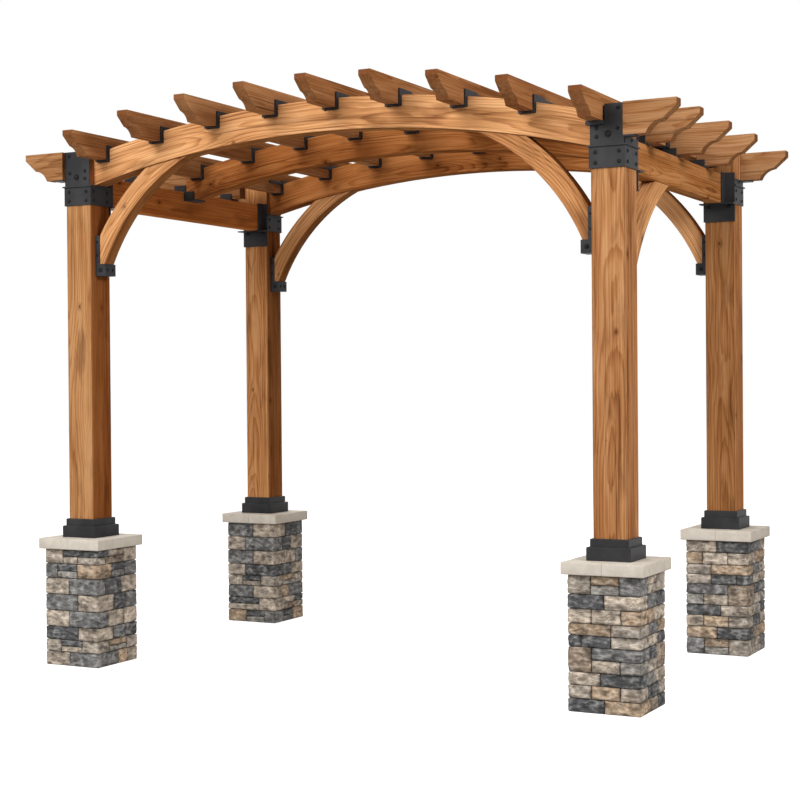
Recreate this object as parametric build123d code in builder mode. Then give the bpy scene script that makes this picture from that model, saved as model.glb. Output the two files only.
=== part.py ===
"""Open timber pergola on four stone piers, with three arched beams and nine rafters.

Millimetres. +X runs along the arches, to the right. +Y runs along the rafters, to the back.
+Z is up, and the origin is the middle of the plan, on the ground.
"""
from build123d import *
import math
import os

os.makedirs("parts", exist_ok=True)

# Plan
bay_length = 2640.0
bay_depth = 1560.0

# Stone piers
pier_side = 304.0
pier_height = 550.0
cap_side = 348.0
cap_height = 50.0
cap_easing = 4.0

# Posts and the stepped steel covers at their feet
post_side = 144.0
post_easing = 4.0
skirt_side = 188.0
skirt_height = 55.0
collar_step_side = 164.0
collar_step_height = 33.0
cover_gauge = 4.0
cover_easing = 3.0

# Steel brackets at the post tops
seat_height = 2260.0
bracket_gauge = 5.0
band_height = 86.0
lip_gauge = 6.0
lip_reach = 7.0
face_plate_rise = 162.0
shelf_reach = 50.0
rafter_shelf_reach = 20.0
hanger_rise = 58.0
hanger_flange = 50.0

# Side beams, which carry the outer tails
side_beam_depth = 140.0
side_beam_thickness = 70.0
side_beam_drop = 90.0
side_beam_inset = 12.0
beam_easing = 3.0

# Arched beams
arch_rise = 160.0
arch_depth = 140.0
arch_thickness = 89.0

# Rafters, all set a little to the right of the middle of the bay
rafter_count = 9
rafter_inset = 87.0
rafter_offset = 40.0
rafter_depth = 108.0
rafter_thickness = 57.0
rafter_let_in = 42.0
rafter_overhang = 262.0
bar_easing = 2.0

# Short tails that point out over the side beams
tail_depth = 132.0
tail_thickness = 57.0
tail_projection = 222.0
tail_setback = 36.0
tail_proud = 20.0
tail_seat_rise = 30.0
tail_count = 5

# The cut end of a rafter or tail, as shares of the bar's depth
nose_share = 0.22
slant_run_share = 0.46
slant_drop_share = 0.40
cove_run_share = 0.50
cove_sag = 0.15

# Steel saddles under the rafters and the short tails
saddle_gauge = 8.0
saddle_proud = 14.0
saddle_ear_rise = 24.0
saddle_strip_rise = 16.0
saddle_run_back = 120.0
tail_ear_height = 28.0
arch_hanger_reach = 60.0

# Curved braces and the steel shoes at their feet
brace_depth = 86.0
brace_thickness = 70.0
brace_inner_radius = 945.0
arch_brace_face_overlap = 30.0
arch_brace_crest_overlap = 30.0
side_brace_crest_overlap = 75.0
shoe_height = 190.0
shoe_cup_height = 56.0
shoe_cup_reach = 57.0
shoe_flange = 25.0
shoe_gauge = 5.0

# Gap between steel and the timber that it holds
slip = 0.25

half_post = post_side / 2
half_length = bay_length / 2
half_depth = bay_depth / 2
cover_base = pier_height + cap_height
post_top = seat_height + face_plate_rise
steel_face = half_post + slip + bracket_gauge

span_half = half_length - half_post
arch_radius = (span_half**2 + arch_rise**2) / (2 * arch_rise)
arch_centre = seat_height + arch_rise - arch_radius
arch_top_radius = arch_radius + arch_depth

side_beam_bottom = seat_height - side_beam_drop
side_beam_top = side_beam_bottom + side_beam_depth
side_beam_line = half_length - side_beam_inset
side_beam_inner = side_beam_line - side_beam_thickness / 2

saddle_width = rafter_thickness + 2 * saddle_gauge + 2 * slip
rafter_half = half_depth + arch_thickness / 2 + rafter_overhang
rafter_reach = half_length - rafter_inset
rafter_step = 2 * rafter_reach / (rafter_count - 1)
rafter_lines = [rafter_offset - rafter_reach + rafter_step * i for i in range(rafter_count)]

# Centre of each brace's curve, from the post's face and from the height of the arches' seats
arch_brace_run = brace_inner_radius - arch_brace_face_overlap
arch_brace_drop = brace_inner_radius - arch_rise - arch_brace_crest_overlap
side_brace_run = brace_inner_radius
side_brace_drop = brace_inner_radius + side_beam_drop - side_brace_crest_overlap

tail_bottom = seat_height + tail_seat_rise
tail_line = half_depth + steel_face + tail_proud - tail_thickness / 2
tail_step = 2 * tail_line / (tail_count - 1)
outrigger_bottom = side_beam_top + saddle_gauge


def shoe_foot(run, drop):
    """Underside of a brace's shoe: its cup ends where the brace's inner curve leaves it."""
    in_cup = run - (shoe_cup_reach - shoe_gauge)
    return seat_height - drop + math.sqrt(brace_inner_radius**2 - in_cup**2) - shoe_cup_height


def arch_top(x):
    """Height of an arched beam's top edge at x."""
    return arch_centre + math.sqrt(arch_top_radius**2 - x**2)


def arch_underside(x):
    """Height of an arched beam's lower edge at x."""
    return arch_centre + math.sqrt(arch_radius**2 - x**2)


def rafter_bottom(x):
    """Underside of the rafter that crosses the arches at x."""
    return arch_top(x) - rafter_let_in


def end_rafter(side):
    """Distance of the end rafter on one side from the middle of the plan."""
    return rafter_reach + side * rafter_offset


def rafter_notch(side):
    """Outer edge, from the post's line, and floor of the notch that the end rafter needs."""
    outer = end_rafter(side) - half_length + rafter_thickness / 2 + saddle_gauge + 2 * slip
    return outer, rafter_bottom(end_rafter(side)) - saddle_gauge - slip


def tail_end(tip, side, top, depth):
    """Lines of a shaped bar end from its top corner to its underside, and where they stop."""
    nose = top - nose_share * depth
    cove_top = nose - slant_drop_share * depth
    bottom = top - depth
    slant_in = tip - side * slant_run_share * depth
    cove_in = slant_in - side * cove_run_share * depth
    drop = cove_top - bottom
    run = cove_run_share * depth
    middle = (
        (slant_in + cove_in) / 2 - side * cove_sag * drop,
        (cove_top + bottom) / 2 + cove_sag * run,
    )
    Polyline((tip, top), (tip, nose), (slant_in, cove_top))
    ThreePointArc((slant_in, cove_top), middle, (cove_in, bottom))
    return (cove_in, bottom)


def at_corner(piece, side, end):
    """Copy of a piece drawn for the corner at +X +Y, mirrored and moved to another corner."""
    if side < 0:
        piece = piece.mirror(Plane.YZ)
    if end < 0:
        piece = piece.mirror(Plane.XZ)
    return piece.moved(Location((side * half_length, end * half_depth, 0)))


corners = {"front_left": (-1, -1), "front_right": (1, -1), "back_left": (-1, 1), "back_right": (1, 1)}
sides = {"left": -1, "right": 1}
steel = Color(0.05, 0.05, 0.055)
timber = Color(0.62, 0.36, 0.17)
pale_stone = Color(0.78, 0.75, 0.70)
dark_stone = Color(0.38, 0.36, 0.34)


def save(piece, name, colour):
    """Labels one finished piece and writes it."""
    piece.label = name
    piece.color = colour
    export_step(piece, f"parts/{name}.step")


# Stone pier and its cast cap, drawn about the post's line
with BuildPart() as pier:
    with BuildSketch():
        Rectangle(pier_side, pier_side)
    extrude(amount=pier_height)

with BuildPart() as cap:
    with BuildSketch(Plane.XY.offset(pier_height)):
        Rectangle(cap_side, cap_side)
    extrude(amount=cap_height)
    chamfer(cap.faces().sort_by(Axis.Z)[-1].edges(), cap_easing)
    chamfer(cap.faces().sort_by(Axis.Z)[0].edges(), cap_easing)

# Stepped cover at the foot of a post: two square sheet boxes, open below
with BuildPart() as cover:
    with BuildSketch(Plane.XY.offset(cover_base)):
        Rectangle(skirt_side, skirt_side)
    extrude(amount=skirt_height)
    chamfer(cover.faces().sort_by(Axis.Z)[-1].edges(), cover_easing)
    with BuildSketch(Plane.XY.offset(cover_base + skirt_height)):
        Rectangle(collar_step_side, collar_step_side)
    extrude(amount=collar_step_height)
    chamfer(cover.faces().sort_by(Axis.Z)[-1].edges(), cover_easing)
    with BuildSketch(Plane.XY.offset(cover_base)):
        Rectangle(skirt_side - 2 * cover_gauge, skirt_side - 2 * cover_gauge)
    extrude(amount=skirt_height - cover_gauge, mode=Mode.SUBTRACT)
    with BuildSketch(Plane.XY.offset(cover_base)):
        Rectangle(collar_step_side - 2 * cover_gauge, collar_step_side - 2 * cover_gauge)
    extrude(amount=skirt_height + collar_step_height - cover_gauge, mode=Mode.SUBTRACT)
    with BuildSketch(Plane.XY.offset(cover_base)):
        Rectangle(post_side + 2 * slip, post_side + 2 * slip)
    extrude(amount=skirt_height + collar_step_height, mode=Mode.SUBTRACT)



def post_for(side):
    """Post, notched at the top of its inner side where the end rafter passes over it."""
    notch_out, notch_floor = rafter_notch(side)
    with BuildPart() as post:
        with BuildSketch(Plane.XY.offset(cover_base)):
            Rectangle(post_side, post_side)
        extrude(amount=post_top - cover_base)
        chamfer(post.edges().filter_by(Axis.Z), post_easing)
        chamfer(post.faces().sort_by(Axis.Z)[-1].edges(), beam_easing)
        if notch_out > -half_post:
            with BuildSketch(Plane.XZ):
                with Locations((-steel_face, notch_floor)):
                    Rectangle(
                        steel_face + notch_out, face_plate_rise, align=(Align.MIN, Align.MIN)
                    )
            extrude(amount=post_side, both=True, mode=Mode.SUBTRACT)
    return post.part


hanger_bottom = side_beam_bottom - band_height
beam_offset = -side_beam_inset
flange_in = beam_offset - side_beam_thickness / 2 - slip
flange_out = beam_offset + side_beam_thickness / 2 + slip


def bracket_for(side):
    """Bracket at a post's top: band with a lip, face plate, tail shelf and side beam hanger."""
    notch_out, notch_floor = rafter_notch(side)
    notched = notch_out > -half_post
    with BuildPart() as bracket:
        with BuildSketch(Plane.XY.offset(seat_height - band_height - lip_gauge)):
            Rectangle(2 * steel_face, 2 * steel_face)
        extrude(amount=band_height + lip_gauge)
        with BuildSketch(Plane.XY.offset(seat_height - lip_gauge)):
            with Locations((0, -steel_face)):
                Rectangle(
                    2 * (steel_face + lip_reach),
                    2 * steel_face + lip_reach,
                    align=(Align.CENTER, Align.MIN),
                )
        extrude(amount=lip_gauge)
        # Face plate on the outer face, cut away under the end rafter
        with BuildSketch(Plane.XZ.offset(-half_post - slip)):
            with Locations((0, seat_height)):
                Rectangle(post_side, face_plate_rise, align=(Align.CENTER, Align.MIN))
            if notched:
                with Locations((-half_post, notch_floor)):
                    Rectangle(
                        half_post + notch_out,
                        face_plate_rise,
                        align=(Align.MIN, Align.MIN),
                        mode=Mode.SUBTRACT,
                    )
        extrude(amount=-bracket_gauge)
        # Shelf in front of the face plate, under the end rafter
        if notched:
            with BuildSketch(Plane.XY.offset(notch_floor - saddle_gauge)):
                with Locations((notch_out - slip, half_post + slip)):
                    Rectangle(
                        saddle_width,
                        bracket_gauge + rafter_shelf_reach,
                        align=(Align.MAX, Align.MIN),
                    )
            extrude(amount=2 * saddle_gauge)
        # Side plate and the shelf that carries the short tail
        with BuildSketch(Plane.YZ.offset(half_post + slip)):
            with Locations((0, seat_height)):
                Rectangle(post_side, tail_seat_rise, align=(Align.CENTER, Align.MIN))
        extrude(amount=bracket_gauge)
        with BuildSketch(Plane.XY.offset(tail_bottom - bracket_gauge)):
            with Locations((half_post + slip, tail_line - half_depth)):
                Rectangle(shelf_reach, tail_thickness + 6 * slip, align=(Align.MIN, Align.CENTER))
        extrude(amount=bracket_gauge)
        # Hanger for the side beam on the face towards the bay
        with BuildSketch(Plane.XZ.offset(half_post + slip)):
            with Locations((0, hanger_bottom)):
                Rectangle(
                    2 * steel_face,
                    side_beam_bottom - hanger_bottom + side_beam_drop + hanger_rise,
                    align=(Align.CENTER, Align.MIN),
                )
        extrude(amount=bracket_gauge)
        with BuildSketch(Plane.XY.offset(side_beam_bottom - lip_gauge)):
            with Locations((0, -steel_face)):
                Rectangle(
                    2 * (steel_face + lip_reach),
                    shelf_reach,
                    align=(Align.CENTER, Align.MAX),
                )
        extrude(amount=lip_gauge)
        for flange_face, outward in ((flange_in, -1), (flange_out, 1)):
            with BuildSketch(Plane.YZ.offset(flange_face)):
                with Locations((-steel_face, side_beam_bottom)):
                    Rectangle(
                        hanger_flange,
                        side_beam_drop + hanger_rise,
                        align=(Align.MAX, Align.MIN),
                    )
            extrude(amount=outward * bracket_gauge)
        with BuildSketch(Plane.XY.offset(hanger_bottom)):
            Rectangle(post_side + 2 * slip, post_side + 2 * slip)
        extrude(amount=post_top - hanger_bottom, mode=Mode.SUBTRACT)
    return bracket.part


for corner, (side, end) in corners.items():
    pieces = {
        "pier": (pier.part, dark_stone),
        "pier_cap": (cap.part, pale_stone),
        "post_base_cover": (cover.part, steel),
        "post": (post_for(side), timber),
        "post_bracket": (bracket_for(side), steel),
    }
    for kind, (piece, colour) in pieces.items():
        with BuildPart() as placed:
            add(at_corner(piece, side, end))
        save(placed.part, f"{kind}_{corner}", colour)

# Arched beams, notched along the top for the rafters and their saddles
notch_width = rafter_thickness + 2 * saddle_gauge + 4 * slip
middle_arch_half = side_beam_inner - saddle_gauge - 2 * slip
hanger_seat = arch_underside(middle_arch_half - arch_hanger_reach)
arches = {
    "front": (-half_depth, span_half),
    "middle": (0.0, middle_arch_half),
    "back": (half_depth, span_half),
}

for place, (y, reach) in arches.items():
    with BuildPart() as arch:
        with BuildSketch(Plane.XZ.offset(-y)):
            with BuildLine():
                low_left = (-reach, arch_underside(reach))
                low_right = (reach, arch_underside(reach))
                top_left = (-reach, arch_top(reach))
                top_right = (reach, arch_top(reach))
                ThreePointArc(low_left, (0, arch_underside(0)), low_right)
                Line(low_right, top_right)
                ThreePointArc(top_right, (0, arch_top(0)), top_left)
                Line(top_left, low_left)
            make_face()
        extrude(amount=arch_thickness / 2, both=True)
        with BuildSketch(Plane.XZ.offset(-y)):
            for x in rafter_lines:
                with Locations((x, rafter_bottom(x) - saddle_gauge - slip)):
                    Rectangle(notch_width, arch_depth, align=(Align.CENTER, Align.MIN))
            if place == "middle":
                for side in sides.values():
                    with Locations((side * reach, hanger_seat)):
                        Rectangle(2 * arch_hanger_reach, arch_depth, align=(Align.CENTER, Align.MAX))
        extrude(amount=arch_thickness, both=True, mode=Mode.SUBTRACT)
    save(arch.part, f"arch_beam_{place}", timber)

# Straight beams along the two sides
side_beam_half = half_depth - steel_face - slip
for name, side in sides.items():
    with BuildPart() as side_beam:
        with BuildSketch(Plane.XZ):
            with Locations((side * side_beam_line, side_beam_bottom)):
                Rectangle(side_beam_thickness, side_beam_depth, align=(Align.CENTER, Align.MIN))
        extrude(amount=side_beam_half, both=True)
        chamfer(side_beam.edges().filter_by(Axis.Y), beam_easing)
    save(side_beam.part, f"side_beam_{name}", timber)

# Rafters with shaped tails at both ends
for number, x in enumerate(rafter_lines, start=1):
    top = rafter_bottom(x) + rafter_depth
    with BuildPart() as rafter:
        with BuildSketch(Plane.YZ.offset(x)):
            with BuildLine():
                front_low = tail_end(-rafter_half, -1, top, rafter_depth)
                back_low = tail_end(rafter_half, 1, top, rafter_depth)
                Line(front_low, back_low)
                Line((rafter_half, top), (-rafter_half, top))
            make_face()
        extrude(amount=rafter_thickness / 2, both=True)
        chamfer(rafter.edges().filter_by(Axis.Y).sort_by(Axis.Z)[-2:], bar_easing)
    save(rafter.part, f"rafter_{number}", timber)

# Saddles that hold the rafters in the notches of the three arches
shelf_half = arch_thickness / 2 + saddle_proud
with BuildPart() as rafter_saddles:
    for place, (y, reach) in arches.items():
        with BuildSketch(Plane.XZ.offset(-y)):
            for x in rafter_lines:
                with Locations((x, rafter_bottom(x) - saddle_gauge)):
                    Rectangle(
                        saddle_width,
                        saddle_gauge + rafter_let_in + saddle_ear_rise,
                        align=(Align.CENTER, Align.MIN),
                    )
                with Locations((x, rafter_bottom(x))):
                    Rectangle(
                        saddle_width - 2 * saddle_gauge,
                        rafter_depth,
                        align=(Align.CENTER, Align.MIN),
                        mode=Mode.SUBTRACT,
                    )
        extrude(amount=shelf_half, both=True)
        if place == "middle":
            continue
        towards_bay = 1 if y < 0 else -1
        with BuildSketch(Plane.XZ.offset(-y)):
            for x in rafter_lines:
                with Locations((x, arch_top(x))):
                    Rectangle(
                        saddle_width,
                        saddle_strip_rise,
                        align=(Align.CENTER, Align.MIN),
                    )
                    Rectangle(
                        saddle_width - 2 * saddle_gauge,
                        saddle_strip_rise,
                        align=(Align.CENTER, Align.MIN),
                        mode=Mode.SUBTRACT,
                    )
        extrude(amount=-towards_bay * (shelf_half + saddle_run_back))
save(rafter_saddles.part, "rafter_saddles", steel)

# Short tails: a block at each post, and outriggers across the side beam between them
tail_lines = [-tail_line + tail_step * i for i in range(tail_count)]
post_tail_tip = half_length + half_post + tail_projection
outrigger_tip = post_tail_tip - tail_setback
for name, side in sides.items():
    with BuildPart() as tails:
        for place, y in enumerate(tail_lines):
            at_post = place in (0, tail_count - 1)
            bottom = tail_bottom if at_post else outrigger_bottom
            tip = side * (post_tail_tip if at_post else outrigger_tip)
            root = end_rafter(side) + rafter_thickness / 2 + slip
            if at_post:
                root = half_length + half_post + 2 * slip
            elif abs(y) < shelf_half + tail_thickness / 2:
                root = max(root + saddle_gauge, middle_arch_half) + slip
            top = bottom + tail_depth
            with BuildSketch(Plane.XZ.offset(-y)):
                with BuildLine():
                    low = tail_end(tip, side, top, tail_depth)
                    Polyline(low, (side * root, bottom), (side * root, top), (tip, top))
                make_face()
            extrude(amount=tail_thickness / 2, both=True)
    save(tails.part, f"tails_{name}", timber)

# Saddles on the side beams for the outriggers, and the hangers that hold the middle arch
tail_saddle_width = tail_thickness + 2 * saddle_gauge + 2 * slip
hanger_width = arch_thickness + 2 * saddle_gauge + 2 * slip
hanger_wall_height = side_beam_top - hanger_seat + saddle_gauge
with BuildPart() as side_beam_seats:
    for side in sides.values():
        inwards = Align.MAX if side > 0 else Align.MIN
        for y in tail_lines[1:-1]:
            with BuildSketch(Plane.XY.offset(side_beam_top)):
                with Locations((side * side_beam_line, y)):
                    Rectangle(side_beam_thickness, tail_saddle_width)
            extrude(amount=saddle_gauge)
            for hand in (-1, 1):
                ear_line = y + hand * (tail_thickness / 2 + slip + saddle_gauge / 2)
                with BuildSketch(Plane.XY.offset(side_beam_top)):
                    with Locations((side * side_beam_line, ear_line)):
                        Rectangle(side_beam_thickness, saddle_gauge)
                extrude(amount=saddle_gauge + tail_ear_height)
        back_face = side * (side_beam_inner - slip)
        with BuildSketch(Plane.XY.offset(hanger_seat - saddle_gauge)):
            with Locations((back_face, 0)):
                Rectangle(arch_hanger_reach, hanger_width, align=(inwards, Align.CENTER))
        extrude(amount=hanger_wall_height)
        with BuildSketch(Plane.XY.offset(hanger_seat)):
            with Locations((back_face - side * saddle_gauge, 0)):
                Rectangle(arch_hanger_reach, arch_thickness + 2 * slip, align=(inwards, Align.CENTER))
        extrude(amount=hanger_wall_height, mode=Mode.SUBTRACT)
save(side_beam_seats.part, "side_beam_seats", steel)


def brace_on(plane, run, drop, top):
    """Curved brace, drawn on a plane whose x leaves the post's face and whose y is up."""
    foot = shoe_foot(run, drop) + shoe_gauge
    start = slip + shoe_gauge
    with BuildPart() as brace:
        with BuildSketch(plane):
            with Locations((run, seat_height - drop)):
                Circle(brace_inner_radius + brace_depth)
                Circle(brace_inner_radius, mode=Mode.SUBTRACT)
            with Locations((start, foot)):
                Rectangle(run, top - foot, align=(Align.MIN, Align.MIN), mode=Mode.INTERSECT)
                Rectangle(
                    shoe_cup_reach - shoe_gauge - start,
                    shoe_cup_height - shoe_gauge,
                    align=(Align.MIN, Align.MIN),
                )
        extrude(amount=brace_thickness / 2, both=True)
    return brace.part


def shoe_on(plane, run, drop):
    """Steel shoe at a brace's foot: a channel against the post, and a cup below."""
    foot = shoe_foot(run, drop)
    inner_width = brace_thickness + 2 * slip
    with BuildPart() as shoe:
        with BuildSketch(plane):
            with Locations((slip, foot)):
                Rectangle(shoe_flange, shoe_height, align=(Align.MIN, Align.MIN))
                Rectangle(shoe_cup_reach, shoe_cup_height, align=(Align.MIN, Align.MIN))
        extrude(amount=inner_width / 2 + shoe_gauge, both=True)
        with BuildSketch(plane):
            with Locations((slip + shoe_gauge, foot + shoe_gauge)):
                Rectangle(shoe_cup_reach - 2 * shoe_gauge, shoe_height, align=(Align.MIN, Align.MIN))
        extrude(amount=inner_width / 2, both=True, mode=Mode.SUBTRACT)
    return shoe.part


# Braces under the front and back arches, and one under the right side beam at the front post
shoes = []
for corner, (side, end) in corners.items():
    face = Plane(
        origin=(side * span_half, end * half_depth, 0), x_dir=(-side, 0, 0), z_dir=(0, side, 0)
    )
    with BuildPart() as arch_brace:
        add(brace_on(face, arch_brace_run, arch_brace_drop, arch_underside(0)))
        with BuildSketch(Plane.XZ.offset(-end * half_depth)):
            with Locations((0, arch_centre)):
                Circle(arch_top_radius)
                Circle(arch_radius - slip, mode=Mode.SUBTRACT)
        extrude(amount=brace_thickness, both=True, mode=Mode.SUBTRACT)
    save(arch_brace.part, f"arch_brace_{corner}", timber)
    shoes.append(shoe_on(face, arch_brace_run, arch_brace_drop))

side_face = Plane(
    origin=(side_beam_line, half_post - half_depth, 0), x_dir=(0, 1, 0), z_dir=(1, 0, 0)
)
side_brace = brace_on(side_face, side_brace_run, side_brace_drop, side_beam_bottom - slip)
save(side_brace, "side_brace_right", timber)
shoes.append(shoe_on(side_face, side_brace_run, side_brace_drop))

with BuildPart() as brace_shoes:
    for shoe in shoes:
        add(shoe)
save(brace_shoes.part, "brace_shoes", steel)
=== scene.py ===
"""Looks of the wooden pergola: timber, black steel, ledge stone piers and pale caps.

Metres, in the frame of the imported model: +X along the arched beams, +Y to the back, +Z up.
"""
import math
import random

import bmesh
import bpy
from mathutils import Matrix, Vector, noise


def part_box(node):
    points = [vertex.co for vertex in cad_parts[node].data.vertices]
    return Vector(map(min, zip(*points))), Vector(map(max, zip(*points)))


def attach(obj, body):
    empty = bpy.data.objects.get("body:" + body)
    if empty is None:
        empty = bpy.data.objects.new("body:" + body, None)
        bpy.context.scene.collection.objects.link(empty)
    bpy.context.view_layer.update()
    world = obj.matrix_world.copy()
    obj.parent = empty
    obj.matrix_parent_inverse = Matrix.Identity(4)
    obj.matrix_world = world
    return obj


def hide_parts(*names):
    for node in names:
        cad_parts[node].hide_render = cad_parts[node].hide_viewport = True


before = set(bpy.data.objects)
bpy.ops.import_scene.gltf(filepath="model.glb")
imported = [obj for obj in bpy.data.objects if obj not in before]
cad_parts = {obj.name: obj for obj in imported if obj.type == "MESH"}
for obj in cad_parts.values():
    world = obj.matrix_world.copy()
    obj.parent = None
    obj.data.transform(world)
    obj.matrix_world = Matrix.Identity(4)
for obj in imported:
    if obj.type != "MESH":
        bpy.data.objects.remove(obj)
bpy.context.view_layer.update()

CORNERS = {"front_left": (-1, -1), "front_right": (1, -1), "back_left": (-1, 1), "back_right": (1, 1)}

# Places read from the frame
post_low, post_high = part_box("post_front_right")
POST_HALF = (post_high.x - post_low.x) / 2
POST_X = (post_low.x + post_high.x) / 2
POST_Y = -(post_low.y + post_high.y) / 2
PIER_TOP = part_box("pier_front_right")[1].z
PIER_HALF = (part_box("pier_front_right")[1].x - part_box("pier_front_right")[0].x) / 2
CAP_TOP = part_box("pier_cap_front_right")[1].z
CAP_HALF = (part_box("pier_cap_front_right")[1].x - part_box("pier_cap_front_right")[0].x) / 2
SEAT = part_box("arch_beam_front")[0].z
SIDE_BEAM_X = (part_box("side_beam_right")[0].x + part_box("side_beam_right")[1].x) / 2

# Curves of the arched beams and braces, as the solids have them
ARCH_RISE = 0.160
ARCH_HALF_SPAN = POST_X - POST_HALF
ARCH_RADIUS = (ARCH_HALF_SPAN**2 + ARCH_RISE**2) / (2 * ARCH_RISE)
ARCH_DEPTH = 0.140
ARCH_CENTRE = SEAT + ARCH_RISE - ARCH_RADIUS
BRACE_RADIUS = 0.945
BRACE_DEPTH = 0.086
ARCH_BRACE_OVERLAP = 0.030
SIDE_BRACE_OVERLAP = 0.075
ARCH_BRACE_RUN = BRACE_RADIUS - ARCH_BRACE_OVERLAP
ARCH_BRACE_DROP = BRACE_RADIUS - ARCH_RISE - ARCH_BRACE_OVERLAP
SIDE_BRACE_RUN = BRACE_RADIUS
SIDE_BRACE_DROP = BRACE_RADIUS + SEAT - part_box("side_beam_right")[0].z - SIDE_BRACE_OVERLAP

# Camera, fitted to the photograph
CAMERA_AT = Vector((3.565, -7.013, 1.314))
CAMERA_YAW = 0.4769
CAMERA_PITCH = -0.0099
CAMERA_ROLL = -0.008
SENSOR = 36.0
FOCAL_PIXELS = 1631.9
FRAME_PIXELS = 800.0


def add_camera():
    """Camera at the photograph's place, turned left from +Y by the yaw."""
    data = bpy.data.cameras.new("camera")
    data.sensor_width = SENSOR
    data.lens = FOCAL_PIXELS / FRAME_PIXELS * SENSOR
    data.clip_end = 100.0
    forward = Vector((
        -math.sin(CAMERA_YAW) * math.cos(CAMERA_PITCH),
        math.cos(CAMERA_YAW) * math.cos(CAMERA_PITCH),
        math.sin(CAMERA_PITCH),
    ))
    level = Vector((math.cos(CAMERA_YAW), math.sin(CAMERA_YAW), 0.0))
    up = level.cross(forward)
    right = level * math.cos(CAMERA_ROLL) + up * math.sin(CAMERA_ROLL)
    up = right.cross(forward)
    camera = bpy.data.objects.new("camera", data)
    bpy.context.scene.collection.objects.link(camera)
    turn = Matrix((right, up, -forward)).transposed()
    camera.matrix_world = Matrix.Translation(CAMERA_AT) @ turn.to_4x4()
    bpy.context.scene.camera = camera


# Short calls for node trees

def place(tree, kind, values=None, **settings):
    """New node with its settings, and its inputs given as values or as sockets to link."""
    made = tree.nodes.new(kind)
    for key, value in settings.items():
        setattr(made, key, value)
    for key, value in (values or {}).items():
        if isinstance(value, bpy.types.NodeSocket):
            tree.links.new(value, made.inputs[key])
        else:
            made.inputs[key].default_value = value
    return made


def calc(tree, operation, *values):
    """Output of a math node."""
    return place(tree, "ShaderNodeMath", dict(enumerate(values)), operation=operation).outputs[0]


def ramp(tree, value, low, high, to_low=0.0, to_high=1.0):
    """Smooth step from one range to another."""
    made = place(
        tree, "ShaderNodeMapRange",
        {"Value": value, "From Min": low, "From Max": high, "To Min": to_low, "To Max": to_high},
        interpolation_type="SMOOTHSTEP",
    )
    return made.outputs["Result"]


def blend(tree, amount, first, second, how="MIX"):
    """Output of a colour mix node."""
    values = {0: amount, 6: first, 7: second}
    return place(tree, "ShaderNodeMix", values, data_type="RGBA", blend_type=how).outputs[2]


def vector(tree, x, y, z):
    """Vector of three values."""
    return place(tree, "ShaderNodeCombineXYZ", {0: x, 1: y, 2: z}).outputs[0]


def parts_of(tree, value):
    """The three values of a vector."""
    made = place(tree, "ShaderNodeSeparateXYZ", {0: value})
    return made.outputs[0], made.outputs[1], made.outputs[2]


def length(tree, value):
    """Length of a vector."""
    return place(tree, "ShaderNodeVectorMath", {0: value}, operation="LENGTH").outputs["Value"]


def cloud(tree, at, scale, detail=2.0, rough=0.5, output="Fac"):
    """Output of a noise node."""
    values = {"Vector": at, "Scale": scale, "Detail": detail, "Roughness": rough}
    return place(tree, "ShaderNodeTexNoise", values).outputs[output]


def cells(tree, at, feature="F1"):
    """Distance in a cell pattern, to the nearest point or to the nearest border."""
    values = {"Vector": at, "Scale": 1.0}
    return place(tree, "ShaderNodeTexVoronoi", values, feature=feature).outputs["Distance"]


def bumped(tree, height, strength, distance):
    """Normal of a surface with fine relief."""
    values = {"Height": height, "Strength": strength, "Distance": distance}
    return place(tree, "ShaderNodeBump", values).outputs[0]


def stretched(tree, along, across, through, scales):
    """Grain space stretched by three scales."""
    return vector(
        tree,
        calc(tree, "MULTIPLY", along, scales[0]),
        calc(tree, "MULTIPLY", across, scales[1]),
        calc(tree, "MULTIPLY", through, scales[2]),
    )


def colour(red, green, blue):
    """Linear colour from the usual 0 to 255 values."""
    def one(value):
        share = value / 255.0
        return share / 12.92 if share <= 0.04045 else ((share + 0.055) / 1.055) ** 2.4
    return (one(red), one(green), one(blue), 1.0)


def new_material(name):
    """Material with its node tree and its shader."""
    material = bpy.data.materials.new(name)
    material.use_nodes = True
    tree = material.node_tree
    return material, tree, tree.nodes["Principled BSDF"]


# Timber

PALE_WOOD = colour(204, 156, 110)
HONEY_WOOD = colour(174, 121, 76)
DARK_WOOD = colour(112, 67, 40)
STREAK_WOOD = colour(88, 49, 27)
KNOT_WOOD = colour(44, 24, 13)
# End grain colour, darkened further as painted shade on the cut ends
END_WOOD_AND_SHADE = colour(116, 70, 42)
RING_WIDTH = 0.0060
KNOT_SPACING = 0.36
KNOT_ROWS = 2.4
KNOT_STRETCH = 0.62
KNOT_SIZE = 0.0088
# Noises of the grain: how often each one changes in a metre along, across and through the timber
FIBRE = (4.0, 300.0, 300.0)
STREAK = (1.0, 105.0, 105.0)
BLOTCH = (1.9, 15.0, 15.0)
DARK_STREAK = (0.9, 60.0, 60.0)
SMUDGE = (3.2, 11.0, 11.0)
RING_BEND = (0.95, 3.0, 3.0)
RING_FRAY = (3.5, 60.0, 60.0)
# Grain of a post's sides: far along from that of its front, with the seam near the middle of the side
SIDE_ALONG = 7.3
SIDE_ACROSS = 0.058


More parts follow.
